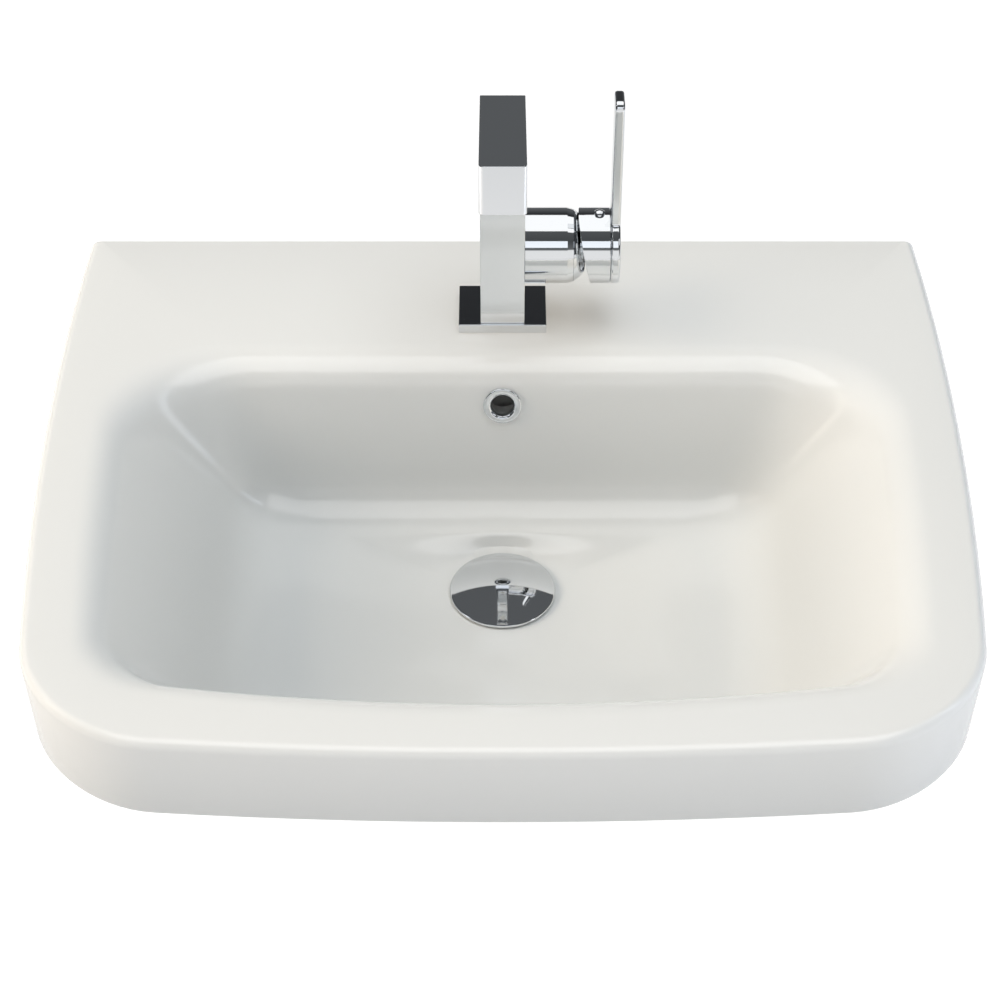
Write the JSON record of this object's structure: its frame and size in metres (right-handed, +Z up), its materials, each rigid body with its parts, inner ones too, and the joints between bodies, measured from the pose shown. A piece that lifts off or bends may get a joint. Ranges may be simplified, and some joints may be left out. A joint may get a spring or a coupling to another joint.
{
  "type": "washbasin",
  "caption": "Wall-hung ceramic washbasin with a rounded rectangular bowl, overflow, push plug and a side-lever mixer tap that swivels and tilts.",
  "frame": {"origin": "on the wall plane, midway between the two wall bolts, 90 mm below the rim", "axes": "+X to the right across the width, -Y from the wall to the front edge, +Z up"},
  "size_m": [0.56, 0.46, 0.3855],
  "materials": {
    "glazed_ceramic": "gloss",
    "chrome_plate": "polished",
    "rubber": "matte",
    "brass": "satin",
    "steel": "satin",
    "grey_plastic": "matte",
    "white_plastic": "satin",
    "disc_ceramic": "satin"
  },
  "bodies": {
    "fixed": {"basin": "glazed_ceramic", "overflow_ring": "chrome_plate", "waste_body": "chrome_plate", "waste_flange_seal": "rubber", "waste_lower_seal": "rubber", "waste_washer": "steel", "waste_backnut": "brass", "plug_mechanism": "grey_plastic", "plug_spring": "steel", "tap_body": "chrome_plate", "tap_base_plate": "chrome_plate", "tap_base_gasket": "rubber", "fixing_stud": "brass", "horseshoe_gasket": "rubber", "horseshoe_washer": "steel", "fixing_nut": "brass", "aerator_housing": "chrome_plate", "aerator_insert": "white_plastic", "aerator_seal": "rubber", "cartridge_base": "white_plastic", "cartridge_seals": "rubber", "cartridge_body": "white_plastic", "fixed_disc": "disc_ceramic", "cartridge_nut": "brass", "dome_ring": "chrome_plate"},
    "rotor": {"cartridge_rotor": "grey_plastic", "rotor_pin": "steel"},
    "disc": {"moving_disc": "disc_ceramic", "disc_carrier": "grey_plastic"},
    "handle": {"spindle": "steel", "handle_cap": "chrome_plate", "handle_lever": "chrome_plate", "lever_screws": "steel", "grub_screw": "steel", "index_button": "chrome_plate"},
    "plug": {"plug_cap": "chrome_plate", "plug_seal": "rubber", "plug_stem": "steel"}
  },
  "joints": [
    {"name": "handle_swivel", "type": "hinge", "parent": "fixed", "child": "rotor", "pos_m": [0.031, -0.08, 0.144], "axis": [1, 0, 0], "range_deg": [-45, 45]},
    {"name": "handle_tilt", "type": "hinge", "parent": "rotor", "child": "handle", "pos_m": [0.031, -0.08, 0.144], "axis": [0, 1, 0], "range_deg": [0, 25]},
    {"name": "disc_slide", "type": "slide", "parent": "rotor", "child": "disc", "axis": [0, 0, 1], "range_m": [0, 0.0038]},
    {"name": "plug_lift", "type": "slide", "parent": "fixed", "child": "plug", "axis": [0, 0, 1], "range_m": [0, 0.0085], "deforming": ["plug_spring"]}
  ],
  "couplings": [
    {"joint": "disc_slide", "follows": "handle_tilt", "m_per_rad": 0.0085}
  ]
}
